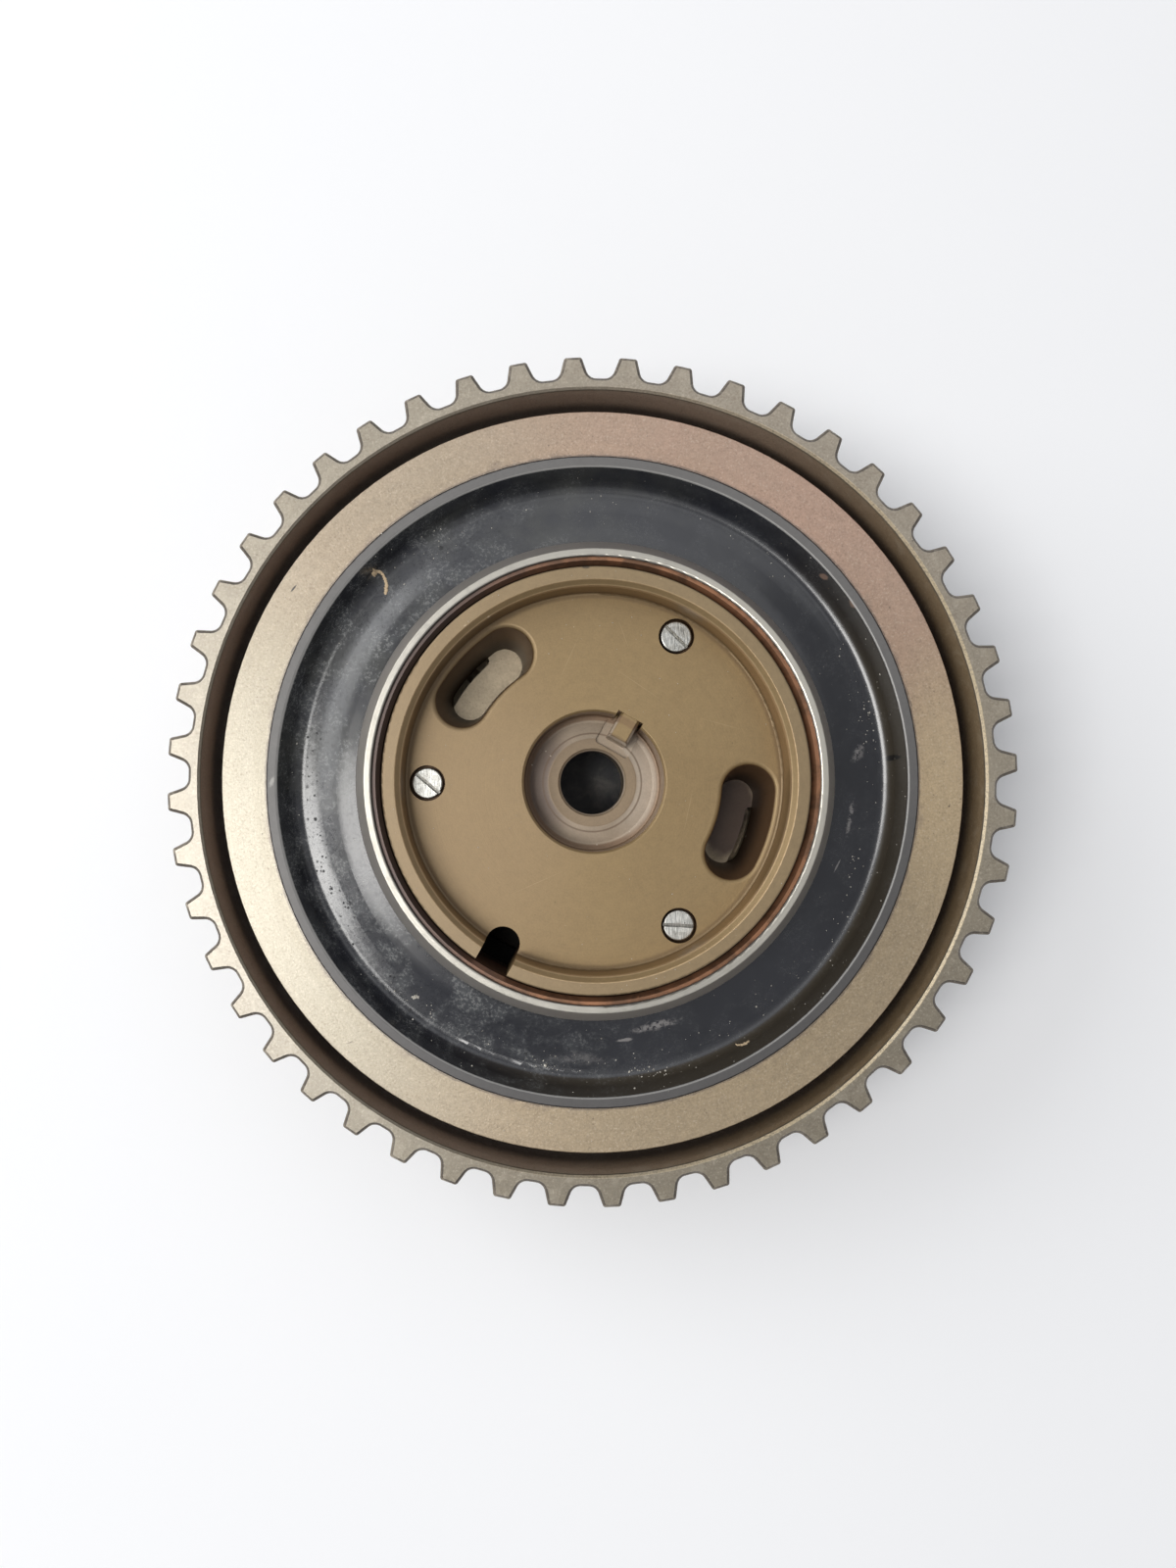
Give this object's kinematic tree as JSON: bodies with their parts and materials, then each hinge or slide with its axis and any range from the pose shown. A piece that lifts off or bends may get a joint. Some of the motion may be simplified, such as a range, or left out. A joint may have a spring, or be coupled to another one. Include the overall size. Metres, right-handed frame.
{
  "type": "camshaft sprocket",
  "caption": "Toothed belt sprocket for a camshaft with a hydraulic vane cam phaser inside, a black seal-neck cover and a keyed hub disc.",
  "frame": {"origin": "on the sprocket's axis, in the plane of the front cover boss that it rests on", "axes": "+Z along the axis towards the camshaft; at rest the drive key stands at 60.5 degrees from +X towards +Y"},
  "size_m": [0.1208, 0.1208, 0.0428],
  "materials": {
    "anodised_wheel": "machined aluminium, hard anodised to a tan, rose and gold sheen, edges rubbed light",
    "black_coating": "satin black coating, dusty, lip rubbed to grey",
    "bronze": "turned bronze, darkened",
    "anodised_disc": "turned aluminium, hard anodised to a matte tan",
    "rotor_steel": "sintered steel, oily",
    "cast_aluminium": "die cast with turned faces",
    "zinc_plating": "bright zinc plating",
    "bolt_steel": "blackened steel",
    "seal_rubber": "black oil-proof rubber",
    "seal_bar_plastic": "dark brown bearing plastic",
    "spring_steel": "spring steel",
    "hardened_steel": "ground, hardened steel"
  },
  "bodies": {
    "housing": {"sprocket_body": "anodised_wheel", "rear_cover": "black_coating", "neck_bush": "bronze", "front_cover_seal": "seal_rubber", "rear_cover_seal": "seal_rubber", "front_cover": "cast_aluminium", "cover_bolt_1": "bolt_steel", "cover_bolt_2": "bolt_steel", "cover_bolt_3": "bolt_steel", "cover_bolt_4": "bolt_steel", "cover_bolt_5": "bolt_steel", "cover_bolt_6": "bolt_steel", "cover_dowel_1": "hardened_steel", "cover_dowel_2": "hardened_steel", "closing_plug": "bolt_steel", "plug_washer": "seal_rubber", "lock_pin_seat": "hardened_steel", "lobe_seal_1": "seal_bar_plastic", "lobe_seal_2": "seal_bar_plastic", "lobe_seal_3": "seal_bar_plastic", "lobe_seal_spring_1": "spring_steel", "lobe_seal_spring_2": "spring_steel", "lobe_seal_spring_3": "spring_steel"},
    "cam_hub": {"rotor": "rotor_steel", "hub_disc": "anodised_disc", "hub_screw_1": "zinc_plating", "hub_screw_2": "zinc_plating", "hub_screw_3": "zinc_plating", "hub_dowel": "hardened_steel", "vane_seal_1": "seal_bar_plastic", "vane_seal_2": "seal_bar_plastic", "vane_seal_3": "seal_bar_plastic", "vane_seal_spring_1": "spring_steel", "vane_seal_spring_2": "spring_steel", "vane_seal_spring_3": "spring_steel", "lock_pin_retainer": "hardened_steel", "lock_pin_spring": "spring_steel"},
    "lock_pin": {"lock_pin": "hardened_steel"}
  },
  "joints": [
    {"name": "phase", "type": "hinge", "parent": "housing", "child": "cam_hub", "pos_m": [0, 0, 0], "axis": [0, 0, 1], "range_deg": [0, 25]},
    {"name": "lock_pin_slide", "type": "slide", "parent": "cam_hub", "child": "lock_pin", "axis": [0, 0, 1], "range_m": [0, 0.0012], "stiffness_N_per_m": 1000, "springref_m": -0.004, "deforming": ["lock_pin_spring"]}
  ]
}
